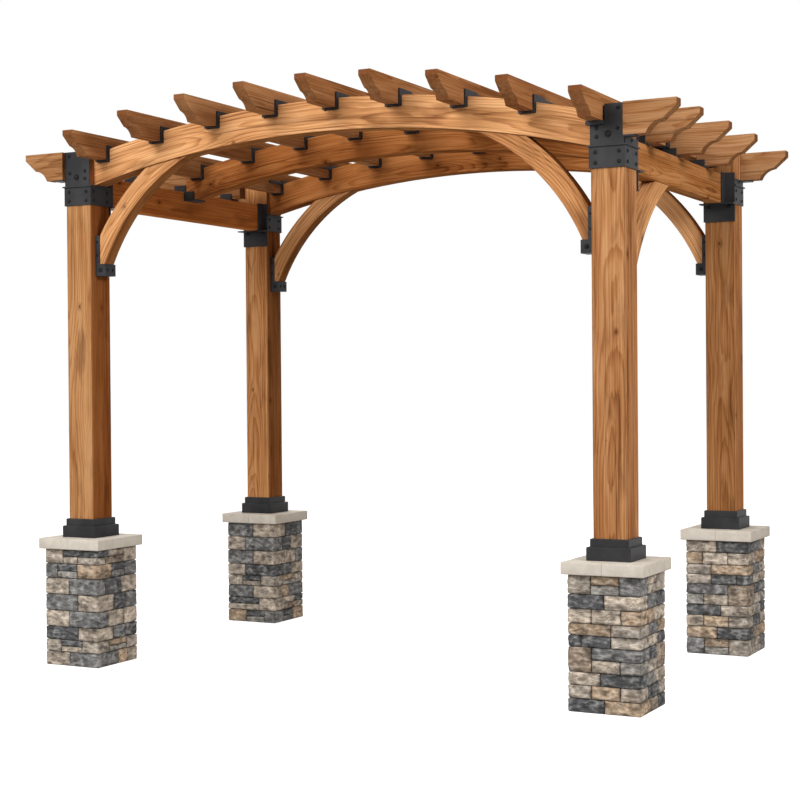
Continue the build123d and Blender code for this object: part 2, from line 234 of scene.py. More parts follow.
def knots(g, place_in):
    """Dark cores and soft halos of sparse knots, both 0 to 1."""
    at = stretched(g, *place_in, (1 / KNOT_SPACING, KNOT_ROWS / KNOT_SPACING, 0.0))
    spots = place(
        g, "ShaderNodeTexVoronoi", {"Vector": at, "Scale": 1.0}, feature="F1", voronoi_dimensions="2D"
    )
    away = place(g, "ShaderNodeVectorMath", {0: at, 1: spots.outputs["Position"]}, operation="SUBTRACT")
    to_metres = (KNOT_SPACING * KNOT_STRETCH, KNOT_SPACING / KNOT_ROWS, 0.0)
    distance = length(g, stretched(g, *parts_of(g, away.outputs[0]), to_metres))
    size = ramp(g, parts_of(g, spots.outputs["Color"])[0], 0.35, 1.0, 0.0, KNOT_SIZE)
    share = calc(g, "DIVIDE", distance, calc(g, "MAXIMUM", size, 0.0005))
    return ramp(g, share, 0.10, 1.30, 1.0, 0.0), ramp(g, share, 0.8, 3.6, 1.0, 0.0)


def growth_rings(g, place_in, luck_1, luck_2, halo):
    """Late wood of the growth rings about a pith beside the board, bent gently along the board."""
    _, across, through = place_in
    bend = cloud(g, stretched(g, *place_in, RING_BEND), 1.0, 2.0, 0.5, "Color")
    bend_1, bend_2, _ = parts_of(g, bend)
    fray = cloud(g, stretched(g, *place_in, RING_FRAY), 1.0, 2.0)
    out_1 = calc(g, "ADD", calc(g, "MULTIPLY_ADD", luck_1, -0.16, 0.08), across)
    out_2 = calc(g, "SUBTRACT", through, calc(g, "MULTIPLY_ADD", luck_2, 0.06, 0.020))
    ring_1 = calc(g, "MULTIPLY_ADD", bend_1, 0.050, calc(g, "ADD", out_1, -0.025))
    ring_2 = calc(g, "MULTIPLY_ADD", bend_2, 0.090, calc(g, "ADD", out_2, -0.045))
    radius = length(g, vector(g, ring_1, ring_2, 0.0))
    radius = calc(g, "MULTIPLY_ADD", halo, 0.0035, calc(g, "MULTIPLY_ADD", fray, 0.005, radius))
    phase = calc(g, "FRACT", calc(g, "DIVIDE", radius, RING_WIDTH))
    return calc(g, "MULTIPLY", ramp(g, phase, 0.40, 0.90), ramp(g, phase, 0.91, 1.0, 1.0, 0.0))


def streaked(g, place_in, fibre, streak, late, luck):
    """Colour of clear timber, with streaks and slow changes along it."""
    blotch = cloud(g, stretched(g, *place_in, BLOTCH), 1.0, 3.0, 0.55)
    dark_streak = cloud(g, stretched(g, *place_in, DARK_STREAK), 1.0, 3.0, 0.6)
    smudge = cloud(g, stretched(g, *place_in, SMUDGE), 1.0, 3.0, 0.6)
    depth = calc(g, "MULTIPLY_ADD", late, 0.20, calc(g, "MULTIPLY", streak, 0.72))
    depth = calc(g, "MULTIPLY_ADD", blotch, 0.75, depth)
    depth = calc(g, "MULTIPLY_ADD", fibre, 0.50, depth)
    depth = calc(g, "MULTIPLY_ADD", luck, 0.20, depth)
    tint = blend(g, ramp(g, depth, 0.86, 1.24), PALE_WOOD, HONEY_WOOD)
    tint = blend(g, ramp(g, depth, 1.14, 1.60), tint, DARK_WOOD)
    tint = blend(g, ramp(g, dark_streak, 0.57, 0.74, 0.0, 0.72), tint, STREAK_WOOD)
    return blend(g, ramp(g, smudge, 0.54, 0.74, 0.0, 0.50), tint, STREAK_WOOD)


def empty_grain_group():
    """Node group of the timber grain with its inputs and outputs only."""
    g = bpy.data.node_groups.new("timber_grain", "ShaderNodeTree")
    sockets = {
        "INPUT": {"Grain": "Vector", "Seed": "Float", "Board": "Float", "End": "Float", "StainAndLight": "Color"},
        "OUTPUT": {"Color": "Color", "Roughness": "Float", "Height": "Float"},
    }
    for way, kinds in sockets.items():
        for name, kind in kinds.items():
            g.interface.new_socket(name, in_out=way, socket_type="NodeSocket" + kind)
    return g


def wood_group():
    """Node group that turns grain space (along, across, through) into the colour of stained timber, with the
    painted light and shade that the stain carries.
    """
    g = empty_grain_group()
    start = g.nodes.new("NodeGroupInput")
    finish = g.nodes.new("NodeGroupOutput")
    along, across, through = parts_of(g, start.outputs["Grain"])
    board_size = start.outputs["Board"]

    # Each board has its own pith and tone
    board = calc(g, "ROUND", calc(g, "DIVIDE", across, board_size))
    in_board = calc(g, "SUBTRACT", across, calc(g, "MULTIPLY", board, board_size))
    draw = vector(g, board, start.outputs["Seed"], 0.0)
    luck = place(g, "ShaderNodeTexWhiteNoise", {"Vector": draw}, noise_dimensions="3D")
    luck_1, luck_2, luck_3 = parts_of(g, luck.outputs["Color"])
    shifted = calc(g, "MULTIPLY_ADD", luck_3, 40.0, along)
    place_in = (shifted, in_board, through)
    knot, halo = knots(g, place_in)
    late = growth_rings(g, place_in, luck_1, luck_2, halo)

    fibre = cloud(g, stretched(g, *place_in, FIBRE), 1.0, 2.0, 0.6)
    streak = cloud(g, stretched(g, *place_in, STREAK), 1.0, 4.0, 0.72)
    tint = streaked(g, place_in, fibre, streak, late, luck_1)
    tint = blend(g, calc(g, "MULTIPLY", halo, 0.38), tint, DARK_WOOD)
    tint = blend(g, calc(g, "MULTIPLY", knot, 0.78), tint, KNOT_WOOD)

    # Seams between the boards; on the posts the boards end at the corners, where this paints a shade line
    # down each corner
    edge = calc(g, "SUBTRACT", 0.5, calc(g, "DIVIDE", calc(g, "ABSOLUTE", in_board), board_size))
    seam_and_corner_shade = ramp(g, calc(g, "MULTIPLY", edge, board_size), 0.0004, 0.0018, 1.0, 0.0)
    tint = blend(g, calc(g, "MULTIPLY", seam_and_corner_shade, 0.42), tint, KNOT_WOOD)

    # End grain is darker and more even; its colour is darkened further as painted shade on the cut ends
    tint = blend(g, calc(g, "MULTIPLY", start.outputs["End"], 0.70), tint, END_WOOD_AND_SHADE)
    # The stain multiplies the colour and carries the painted light and shade of the faces
    tint = blend(g, 1.0, tint, start.outputs["StainAndLight"], "MULTIPLY")

    height = calc(g, "MULTIPLY_ADD", late, -0.30, calc(g, "MULTIPLY", fibre, 0.8))
    height = calc(g, "MULTIPLY_ADD", streak, 0.8, height)
    height = calc(g, "MULTIPLY_ADD", seam_and_corner_shade, -0.9, height)
    height = calc(g, "MULTIPLY_ADD", knot, -0.3, height)
    rough = calc(g, "MULTIPLY_ADD", fibre, 0.20, calc(g, "MULTIPLY_ADD", late, -0.05, 0.50))
    g.links.new(tint, finish.inputs["Color"])
    g.links.new(rough, finish.inputs["Roughness"])
    g.links.new(height, finish.inputs["Height"])


def straight_grain(tree, axis, centre):
    """Grain space of a straight timber: along its axis, then across and through it."""
    place_in = place(tree, "ShaderNodeTexCoord").outputs["Object"]
    moved = place(tree, "ShaderNodeVectorMath", {0: place_in, 1: centre}, operation="SUBTRACT").outputs[0]
    x, y, z = parts_of(tree, moved)
    order = {"x": (x, z, y), "y": (y, z, x), "z": (z, x, y)}[axis]
    return vector(tree, *order)


def flank(tree):
    """0 on faces that look to the front or back, 1 on the others."""
    facing = parts_of(tree, place(tree, "ShaderNodeNewGeometry").outputs["True Normal"])[1]
    return calc(tree, "LESS_THAN", calc(tree, "ABSOLUTE", facing), 0.7)


def post_grain(tree, centre):
    """Grain space of a post with one wide board to the front and back, and two boards to each side."""
    front = straight_grain(tree, "z", centre)
    along, across, through = parts_of(tree, front)
    side = vector(
        tree, calc(tree, "ADD", along, SIDE_ALONG), calc(tree, "ADD", through, SIDE_ACROSS), across
    )
    return place(tree, "ShaderNodeMix", {0: flank(tree), 4: front, 5: side}, data_type="VECTOR").outputs[1]


def curved_grain(tree, plane, centre, radius, middle):
    """Grain space of a curved timber: along the arc, then across its depth and through its thickness."""
    place_in = place(tree, "ShaderNodeTexCoord").outputs["Object"]
    x, y, z = parts_of(tree, place_in)
    run, side = (x, y) if plane == "xz" else (y, x)
    out = calc(tree, "SUBTRACT", run, centre[0])
    rise = calc(tree, "SUBTRACT", z, centre[1])
    distance = calc(tree, "SQRT", calc(tree, "MULTIPLY_ADD", out, out, calc(tree, "MULTIPLY", rise, rise)))
    along = calc(tree, "MULTIPLY", calc(tree, "ARCTAN2", out, rise), radius)
    return vector(tree, along, calc(tree, "SUBTRACT", distance, radius), calc(tree, "SUBTRACT", side, middle))


def wood(name, seed, grain, board, stain_and_light, axis=None):
    """Timber material, with one stain, or one for faces to the front and back and one for the rest, which
    also paints the light and shade of those faces.

    grain is a function that adds the grain space to the material's tree.
    """
    material, tree, shader = new_material(name)
    end = 0.0
    if axis:
        facing = place(tree, "ShaderNodeNewGeometry").outputs["Normal"]
        part = parts_of(tree, facing)["xyz".index(axis)]
        end = ramp(tree, calc(tree, "ABSOLUTE", part), 0.45, 0.95)
    # A pair paints its own light and shade onto the faces to the front and back and onto the others
    if len(stain_and_light) == 2:
        front_stain_and_light, side_stain_and_light = stain_and_light
        stain_with_light = blend(tree, flank(tree), front_stain_and_light + (1.0,), side_stain_and_light + (1.0,))
    else:
        stain_with_light = stain_and_light + (1.0,)
    values = {"Grain": grain(tree), "Seed": seed, "Board": board, "End": end, "StainAndLight": stain_with_light}
    body = place(tree, "ShaderNodeGroup", values, node_tree=bpy.data.node_groups["timber_grain"])
    tree.links.new(body.outputs["Color"], shader.inputs["Base Color"])
    tree.links.new(body.outputs["Roughness"], shader.inputs["Roughness"])
    tree.links.new(bumped(tree, body.outputs["Height"], 0.45, 0.0012), shader.inputs["Normal"])
    shader.inputs["Specular IOR Level"].default_value = 0.0
    return material


# Steel, cast stone and ledge stone

def steel_material(name, dark, light):
    """Matt black powder coat with a fine orange peel."""
    material, tree, shader = new_material(name)
    at = place(tree, "ShaderNodeTexCoord").outputs["Object"]
    speckle = cloud(tree, at, 900.0, 2.0)
    patch = cloud(tree, at, 9.0, 3.0)
    tint = blend(tree, ramp(tree, patch, 0.3, 0.7), dark, light)
    rough = calc(tree, "MULTIPLY_ADD", patch, 0.16, 0.42)
    tree.links.new(tint, shader.inputs["Base Color"])
    tree.links.new(rough, shader.inputs["Roughness"])
    tree.links.new(bumped(tree, speckle, 0.25, 0.0006), shader.inputs["Normal"])
    shader.inputs["Specular IOR Level"].default_value = 0.14
    return material


def cap_material():
    """Pale fine-grained cast stone with faint mottling and pores."""
    material, tree, shader = new_material("pale_cast_stone")
    at = place(tree, "ShaderNodeTexCoord").outputs["Object"]
    mottle = cloud(tree, at, 18.0, 5.0, 0.6)
    fine = cloud(tree, at, 240.0, 3.0, 0.6)
    pores = place(tree, "ShaderNodeTexVoronoi", {"Vector": at, "Scale": 150.0}, feature="F1")
    pore = ramp(tree, pores.outputs["Distance"], 0.06, 0.2, 1.0, 0.0)
    tint = blend(tree, ramp(tree, mottle, 0.3, 0.7), colour(194, 186, 175), colour(211, 205, 195))
    tint = blend(tree, ramp(tree, fine, 0.35, 0.65, 0.0, 0.35), tint, colour(190, 178, 162))
    tint = blend(tree, calc(tree, "MULTIPLY", pore, 0.4), tint, colour(160, 148, 132))
    height = calc(tree, "SUBTRACT", calc(tree, "MULTIPLY", fine, 0.6), pore)
    tree.links.new(tint, shader.inputs["Base Color"])
    tree.links.new(bumped(tree, height, 0.4, 0.0012), shader.inputs["Normal"])
    shader.inputs["Roughness"].default_value = 0.85
    shader.inputs["Specular IOR Level"].default_value = 0.3
    return material


def stone_material():
    """Split-face stone: its tint and relief come from attributes of the stones; relief, chips and cracks also
    paint light and shade into its colour.
    """
    material, tree, shader = new_material("ledge_stone")
    at = place(tree, "ShaderNodeTexCoord").outputs["Object"]
    sway = cloud(tree, at, 40.0, 2.0, 0.5, "Color")
    shift = place(tree, "ShaderNodeVectorMath", {0: sway, 1: (0.022, 0.022, 0.014)}, operation="MULTIPLY")
    bent = place(tree, "ShaderNodeVectorMath", {0: at, 1: shift.outputs[0]}, operation="ADD").outputs[0]
    flat = place(tree, "ShaderNodeMapping", {"Vector": bent, "Scale": (36.0, 36.0, 78.0)}).outputs[0]
    tint = place(tree, "ShaderNodeAttribute", attribute_name="tint").outputs["Color"]
    relief = place(tree, "ShaderNodeAttribute", attribute_name="relief").outputs["Fac"]
    cloudy = cloud(tree, at, 30.0, 5.0, 0.62)
    grit = cloud(tree, at, 240.0, 3.0, 0.65)
    chips = cells(tree, flat)
    crack = ramp(tree, cells(tree, flat, "DISTANCE_TO_EDGE"), 0.01, 0.15, 1.0, 0.0)
    crack = calc(tree, "MULTIPLY", crack, ramp(tree, cloud(tree, at, 22.0, 2.0), 0.42, 0.62))
    shade = blend(tree, ramp(tree, cloudy, 0.34, 0.66), colour(214, 210, 206), colour(255, 252, 248))
    body = blend(tree, 1.0, tint, shade, "MULTIPLY")
    body = blend(tree, ramp(tree, grit, 0.48, 0.72, 0.0, 0.34), body, colour(86, 82, 78))
    # Painted light and shade: chip ridges lightened as painted highlight, raised relief lightened and hollows
    # darkened, chip scallops lit and shaded, cracks darkened as painted shade
    body = blend(tree, ramp(tree, chips, 0.48, 0.80, 0.0, 0.20), body, colour(206, 202, 198))
    relief_light_and_shade = ramp(tree, relief, 0.05, 0.95, 0.38, 1.26)
    painted_light_and_shade = calc(tree, "MULTIPLY", relief_light_and_shade, ramp(tree, chips, 0.12, 0.78, 0.74, 1.22))
    painted_light_and_shade = calc(tree, "MULTIPLY", painted_light_and_shade, calc(tree, "MULTIPLY_ADD", crack, -0.34, 1.0))
    body = place(tree, "ShaderNodeVectorMath", {0: body, "Scale": painted_light_and_shade}, operation="SCALE").outputs[0]
    height = calc(tree, "MULTIPLY_ADD", cloudy, 0.5, calc(tree, "MULTIPLY", grit, 0.30))
    height = calc(tree, "MULTIPLY_ADD", chips, 0.9, height)
    height = calc(tree, "MULTIPLY_ADD", crack, -0.5, height)
    tree.links.new(body, shader.inputs["Base Color"])
    tree.links.new(bumped(tree, height, 1.0, 0.009), shader.inputs["Normal"])
    shader.inputs["Roughness"].default_value = 0.85
    shader.inputs["Specular IOR Level"].default_value = 0.25
    return material


# Meshes

def finish_mesh(name, mesh_data, materials, smooth_angle=35.0):
    """Object from a bmesh, smooth across gentle angles."""
    mesh = bpy.data.meshes.new(name)
    mesh_data.to_mesh(mesh)
    mesh_data.free()
    for material in materials:
        mesh.materials.append(material)
    for polygon in mesh.polygons:
        polygon.use_smooth = True
    mesh.set_sharp_from_angle(angle=math.radians(smooth_angle))
    made = bpy.data.objects.new(name, mesh)
    bpy.context.scene.collection.objects.link(made)
    return made


def dressed(node, material, easing):
    """Copy of a CAD piece with its edges rounded, which stands for that piece."""
    shape = bmesh.new()
    shape.from_mesh(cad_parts[node].data)
    bmesh.ops.remove_doubles(shape, verts=shape.verts, dist=0.00002)
    bmesh.ops.dissolve_limit(
        shape, angle_limit=math.radians(0.4), use_dissolve_boundaries=False,
        verts=shape.verts, edges=shape.edges,
    )
    sharp = [e for e in shape.edges if e.is_manifold and e.calc_face_angle(0.0) > math.radians(28.0)]
    bmesh.ops.bevel(
        shape, geom=sharp, offset=easing, offset_type="OFFSET", segments=2, profile=0.6,
        affect="EDGES", clamp_overlap=True,
    )
    for face in shape.faces:
        face.material_index = 0
    made = finish_mesh(node + "_dressed", shape, [material], 40.0)
    weighted = made.modifiers.new("flat_faces", "WEIGHTED_NORMAL")
    weighted.keep_sharp = True
    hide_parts(node)
    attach(made, "root")


def middle_of(node):
    """Middle of a CAD piece's box."""
    low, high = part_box(node)
    return (low + high) / 2


# Stain of each timber, with painted light and shade in it: how strongly it lets red, green and blue through.
# In a pair, the first is for the faces to the front and back, the second for all others, each with its own
# painted light and shade.
# Each post's pair also holds painted light and shade: darker sides on the left posts, a darker front and a
# lighter side on the back right post
POST_STAIN_LIGHT_AND_SHADE = {
    "front_left": ((0.82, 0.78, 0.73), (0.54, 0.37, 0.25)),
    "front_right": ((0.88, 0.84, 0.82), (0.84, 0.76, 0.74)),
    "back_left": ((1.06, 0.98, 0.90), (0.60, 0.46, 0.36)),
    "back_right": ((0.66, 0.60, 0.54), (0.96, 0.90, 0.88)),
}
# Front arch: front and back brightened as painted light, top and underside darkened as painted shade; the
# inner arches are darkened all over as painted shade
FRONT_ARCH_STAIN_LIGHT_AND_SHADE = ((1.44, 1.50, 1.56), (0.86, 0.76, 0.66))
INNER_ARCH_STAIN_AND_SHADE = ((0.82, 0.62, 0.44), (0.66, 0.50, 0.36))
# Arch braces: faces to the front and back brightened as painted light, the other faces darkened as painted
# shade
BRACE_STAIN_LIGHT_AND_SHADE = ((1.20, 1.20, 1.20), (0.66, 0.55, 0.45))
SIDE_BRACE = (1.22, 1.22, 1.22)
LEFT_BEAM = (1.15, 0.80, 0.50)
RIGHT_BEAM = (0.80, 0.68, 0.54)
RAFTER = (0.76, 0.70, 0.68)
TAIL = (0.70, 0.68, 0.69)
# Board wider than any timber here, so that no seam shows
WHOLE = 0.5
# A post's boards end just inside its corners, so that a dark seam runs down each corner as a painted shade
# line
CORNER_SHADE_SEAM = 0.0035
POST_BOARD = (POST_HALF - CORNER_SHADE_SEAM) * 2
# Rounding of the edges
STRAIGHT_EASING = 0.0025
SIDE_BEAM_EASING = 0.0020
CURVED_EASING = 0.0045
STEEL_EASING = 0.0008


def post(corner):
    """Job for one post."""
    node = "post_" + corner
    centre = middle_of(node)
    return (
        node, STRAIGHT_EASING, lambda tree: post_grain(tree, centre), POST_BOARD, POST_STAIN_LIGHT_AND_SHADE[corner], "z"
    )


def straight(node, axis, stain_and_light, easing=STRAIGHT_EASING):
    """Job for one straight timber."""
    centre = middle_of(node)
    return (node, easing, lambda tree: straight_grain(tree, axis, centre), WHOLE, stain_and_light, axis)


def curved(node, plane, centre, radius, stain_and_light):
    """Job for one curved timber, whose grain follows its curve."""
    middle = middle_of(node)
    through = middle.y if plane == "xz" else middle.x
    return (
        node, CURVED_EASING, lambda tree: curved_grain(tree, plane, centre, radius, through),
        WHOLE, stain_and_light, None,
    )


def timber_jobs():
    """Node, edge rounding, grain, board width, stain with its painted light and shade, and end-grain axis of
    every timber.
    """
    jobs = []
    arch_line = ARCH_RADIUS + ARCH_DEPTH / 4
    brace_line = BRACE_RADIUS + BRACE_DEPTH / 2
    for corner, (side, _) in CORNERS.items():
        centre = (side * (ARCH_HALF_SPAN - ARCH_BRACE_RUN), SEAT - ARCH_BRACE_DROP)
        jobs.append(post(corner))
        jobs.append(curved("arch_brace_" + corner, "xz", centre, brace_line, BRACE_STAIN_LIGHT_AND_SHADE))
    for name, stain_and_light in (("front", FRONT_ARCH_STAIN_LIGHT_AND_SHADE), ("middle", INNER_ARCH_STAIN_AND_SHADE), ("back", INNER_ARCH_STAIN_AND_SHADE)):
        jobs.append(curved("arch_beam_" + name, "xz", (0.0, ARCH_CENTRE), arch_line, stain_and_light))
    for name, stain_and_light in (("left", LEFT_BEAM), ("right", RIGHT_BEAM)):
        jobs.append(straight("side_beam_" + name, "y", stain_and_light, SIDE_BEAM_EASING))
        jobs.append(straight("tails_" + name, "x", TAIL))
    centre = (POST_HALF - POST_Y + SIDE_BRACE_RUN, SEAT - SIDE_BRACE_DROP)
    jobs.append(curved("side_brace_right", "yz", centre, brace_line, SIDE_BRACE))
    for number in range(1, 10):
        jobs.append(straight(f"rafter_{number}", "y", RAFTER))
    return jobs


def dress_timber():
    """Every timber gets rounded edges and its own grain."""
    wood_group()
    seed = 1.0
    for node, easing, grain, board, stain_and_light, axis in timber_jobs():
        seed += 1.7
        dressed(node, wood("wood_" + node, seed, grain, board, stain_and_light, axis), easing)


def dress_steel(material):
    """Steel pieces keep their shape, with a fine rounding on their edges."""
    names = [f"{kind}_{corner}" for kind in ("post_bracket", "post_base_cover") for corner in CORNERS]
    for node in names + ["rafter_saddles", "side_beam_seats", "brace_shoes"]:
        dressed(node, material, STEEL_EASING)


# Rivets

STEEL_FACE = POST_HALF + 0.00525
SMALL_RIVET = 0.0072
LARGE_RIVET = 0.0120
# Shares of a rivet's radius
WASHER_REACH = 1.25
WASHER_HEIGHT = 0.12
DOME_FOOT = 0.14
DOME_HEIGHT = 0.55
# Rivets of the band of a bracket, from the post's middle and the band's middle
BAND_MIDDLE = SEAT - 0.049
BAND_ACROSS = 0.050
BAND_RISE = 0.021
BAND_INNER_DROP = 0.055
# Rivets of the plate over it, as the way out from the post's middle and the height over the seat
PLATE_RIVETS = ((0.047, 0.143), (0.044, 0.062), (-0.044, 0.033), (-0.044, 0.068))
PLATE_LARGE_RIVET = (0.005, 0.042)
PLATE_SIDE_RISE = 0.020
# Brace shoes: faces to rivet, from the shoe's middle or the post, and heights over the cup's foot
SHOE_FACE = 0.04025
SHOE_CUP_REACH = 0.05725
SHOE_CUP_HEIGHT = 0.056
SHOE_CUP_EDGE = 0.052
CUP_RIVET = (0.031, 0.028)
CUP_END_SPREAD = 0.019
FLANGE_MIDDLE = 0.0125
FLANGE_RISES = (0.098, 0.160)


def add_dome(shape, at, normal, radius, segments=16, rings=4):
    """Domed rivet head with a low washer under it, standing on a face."""
    turn = Vector((0, 0, 1)).rotation_difference(Vector(normal)).to_matrix()
    washer = radius * WASHER_REACH
    profile = [(washer, 0.0), (washer, radius * WASHER_HEIGHT), (radius, radius * DOME_FOOT)]
    for step in range(1, rings + 1):
        angle = math.pi / 2 * step / rings
        rise = radius * (DOME_FOOT + DOME_HEIGHT * math.sin(angle))
        profile.append((radius * math.cos(angle), rise))
    loops = []
    for reach, rise in profile[:-1]:
        loop = []
        for i in range(segments):
            angle = 2 * math.pi * i / segments
            local = Vector((reach * math.cos(angle), reach * math.sin(angle), rise))
            loop.append(shape.verts.new(Vector(at) + turn @ local))
        loops.append(loop)
    top = shape.verts.new(Vector(at) + turn @ Vector((0, 0, profile[-1][1])))
    for low, high in zip(loops, loops[1:]):
        for i in range(segments):
            j = (i + 1) % segments
            shape.faces.new((low[i], low[j], high[j], high[i]))
    for i in range(segments):
        shape.faces.new((loops[-1][i], loops[-1][(i + 1) % segments], top))
    shape.faces.new(list(reversed(loops[0])))


def finish_rivets(name, shape, material):
    """Piece of all the rivets in one mesh."""
    made = finish_mesh(name, shape, [material])
    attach(made, "root")


def bracket_rivets(material):
    """Rivets of the post brackets, by the pattern on the front right one, mirrored."""
    for corner, (side, end) in CORNERS.items():
        shape = bmesh.new()
        x, y = side * POST_X, end * POST_Y

        def on_x(face, across, height):
            """Small rivet on a face to the left (-1) or right (1) of the post."""
            add_dome(shape, (x + face * STEEL_FACE, y + across, height), (face, 0, 0), SMALL_RIVET)

        def on_y(face, across, height, radius=SMALL_RIVET):
            """Rivet on a face to the front (-1) or back (1) of the post."""
            add_dome(shape, (x + across, y + face * STEEL_FACE, height), (0, face, 0), radius)

        for across in (-BAND_ACROSS, BAND_ACROSS):
            for rise in (-BAND_RISE, BAND_RISE):
                on_y(end, across, BAND_MIDDLE + rise)
                on_x(-1, across, BAND_MIDDLE + rise)
                on_x(1, across, BAND_MIDDLE + rise)
            on_y(-end, across, BAND_MIDDLE - BAND_INNER_DROP)
        for across, rise in PLATE_RIVETS:
            on_y(end, side * across, SEAT + rise)
        across, rise = PLATE_LARGE_RIVET
        on_y(end, side * across, SEAT + rise, LARGE_RIVET)
        on_x(side, 0.0, SEAT + PLATE_SIDE_RISE)
        finish_rivets("bracket_rivets_" + corner, shape, material)


def shoe_rivets(material):
    """Rivets of the brace shoes: on both sides and the end of each cup, and up each flange."""
    shape = bmesh.new()

    def rivet_shoe(run, drop, spot):
        """spot turns a distance from the post, one across the shoe and a height into a place."""
        brace_edge = SEAT - drop + math.sqrt(BRACE_RADIUS**2 - (run - SHOE_CUP_EDGE) ** 2)
        foot = brace_edge - SHOE_CUP_HEIGHT
        origin = spot(0.0, 0.0, 0.0)
        away = spot(1.0, 0.0, 0.0) - origin
        cup_middle, cup_rise = CUP_RIVET
        for side in (-1, 1):
            outward = spot(0.0, side, 0.0) - origin
            face = side * SHOE_FACE
            add_dome(shape, spot(cup_middle, face, foot + cup_rise), outward, SMALL_RIVET * 1.2)
            for rise in FLANGE_RISES:
                add_dome(shape, spot(FLANGE_MIDDLE, face, foot + rise), outward, SMALL_RIVET * 0.8)
            on_end = spot(SHOE_CUP_REACH, side * CUP_END_SPREAD, foot + cup_rise)
            add_dome(shape, on_end, away, SMALL_RIVET * 0.9)

    for side, end in CORNERS.values():
        rivet_shoe(
            ARCH_BRACE_RUN, ARCH_BRACE_DROP,
            lambda out, across, z: Vector((side * (ARCH_HALF_SPAN - out), end * POST_Y + across, z)),
        )
    rivet_shoe(
        SIDE_BRACE_RUN, SIDE_BRACE_DROP,
        lambda out, across, z: Vector((SIDE_BEAM_X + across, POST_HALF - POST_Y + out, z)),
    )
    finish_rivets("shoe_rivets", shape, material)


# Ledge stone

STONE_TINTS = {
    "charcoal": colour(98, 101, 105),
    "slate": colour(130, 132, 134),
    "ash": colour(166, 164, 160),
    "greige": colour(184, 175, 164),
    "beige": colour(196, 184, 170),
    "tan": colour(190, 168, 144),
    "umber": colour(164, 148, 132),
}
# Two coursings, each from the top down. A course has its height, the stones of the front from the left,
# and for the right side the depth of the front's corner stone, the stone between, and the depth of the
# back's corner stone, all in millimetres. A tall stone covers the next course as well.
FINE_COURSES = [
    (40, [(97, "greige tall"), (119, "tan"), (88, "slate tall")], (88, "beige", 104)),
    (38, [(97, None), (119, "ash"), (88, None)], (88, "greige", 104)),
    (58, [(153, "charcoal"), (151, "beige")], (84, "slate", 102)),
    (58, [(99, "beige"), (124, "beige"), (81, "tan")], (90, "tan", 132)),
    (48, [(181, "tan"), (123, "greige")], (102, "slate", 92)),
    (46, [(56, "charcoal"), (125, "charcoal"), (123, "greige")], (98, "beige", 96)),
    (50, [(99, "umber tall"), (205, "slate")], (112, "charcoal", 104)),
    (50, [(99, None), (119, "beige"), (86, "ash")], (86, "greige", 104)),
    (52, [(135, "beige"), (169, "charcoal")], (78, "ash", 126)),
    (54, [(97, "greige"), (122, "tan"), (85, "beige")], (90, "charcoal", 84)),
    (56, [(153, "charcoal"), (151, "tan")], (118, "umber", 96)),
]
BOLD_COURSES = [
    (35, [(103, "beige tall"), (201, "charcoal")], (88, "beige", 104)),
    (34, [(103, None), (85, "beige"), (116, "greige")], (62, "umber", 104)),
    (34, [(70, "slate tall"), (116, "charcoal"), (118, "tan tall")], (111, "charcoal", 96)),
    (33, [(70, None), (116, "ash"), (118, None)], (111, "slate", 96)),
    (76, [(138, "beige"), (166, "slate")], (62, "charcoal", 118)),
    (76, [(188, "slate"), (116, "beige")], (125, "charcoal", 84)),
    (75, [(138, "beige"), (166, "slate")], (83, "beige", 104)),
    (61, [(190, "charcoal"), (114, "beige")], (118, "slate", 90)),
    (30, [(90, "greige tall"), (120, "charcoal"), (94, "greige tall")], (86, "tan", 84)),
    (26, [(90, None), (120, "beige"), (94, None)], (86, "ash", 84)),
    (66, [(140, "beige"), (164, "slate")], (154, "tan", 80)),
]
# Coursing of each pier, with its first course and its mirroring
PIER_LAYING = {
    "front_right": (FINE_COURSES, 0, 1),
    "front_left": (BOLD_COURSES, 0, 1),
    "back_right": (FINE_COURSES, 2, -1),
    "back_left": (BOLD_COURSES, 4, -1),
}
# Joint between stones, size of the squares of their faces, how far their sides are kept behind the face,
# how deep a stone between corner stones is, rounding of their edges, and how far back the mortar lies
JOINT = 0.0024
STONE_STEP = 0.005
RIM = 0.012
FACE_DEPTH = 0.045
STONE_EASING = 0.0032
MORTAR_DEPTH = 0.008
MORTAR = colour(96, 90, 84)


def stone_grid(low, high, exposed):
    """Points and faces of a box of small squares, open at its hidden back."""
    counts = [max(2, round((high[i] - low[i]) / STONE_STEP)) for i in range(3)]
    index = {}
    points = []
    faces = []

    def point(key):
        """Number of the point at a crossing of the grid, new or known."""
        if key not in index:
            index[key] = len(points)
            points.append([low[a] + (high[a] - low[a]) * key[a] / counts[a] for a in range(3)])
        return index[key]

    def hidden(ring):
        """True where a square lies deeper behind the exposed sides than anyone can see."""
        return all(
            min((high[a] - points[i][a]) if out > 0 else (points[i][a] - low[a]) for a, out in exposed) > RIM
            for i in ring
        )

    for axis in range(3):
        b, c = [a for a in range(3) if a != axis]
        for outward, where in ((-1, 0), (1, counts[axis])):
            for p in range(counts[b]):
                for q in range(counts[c]):
                    ring = []
                    for dp, dq in ((0, 0), (1, 0), (1, 1), (0, 1)):
                        key = [0, 0, 0]
                        key[axis], key[b], key[c] = where, p + dp, q + dq
                        ring.append(point(tuple(key)))
                    if (axis, outward) in exposed or not hidden(ring):
                        flip = (axis == 1) != (outward < 0)
                        faces.append(ring[::-1] if flip else ring)
    return points, faces


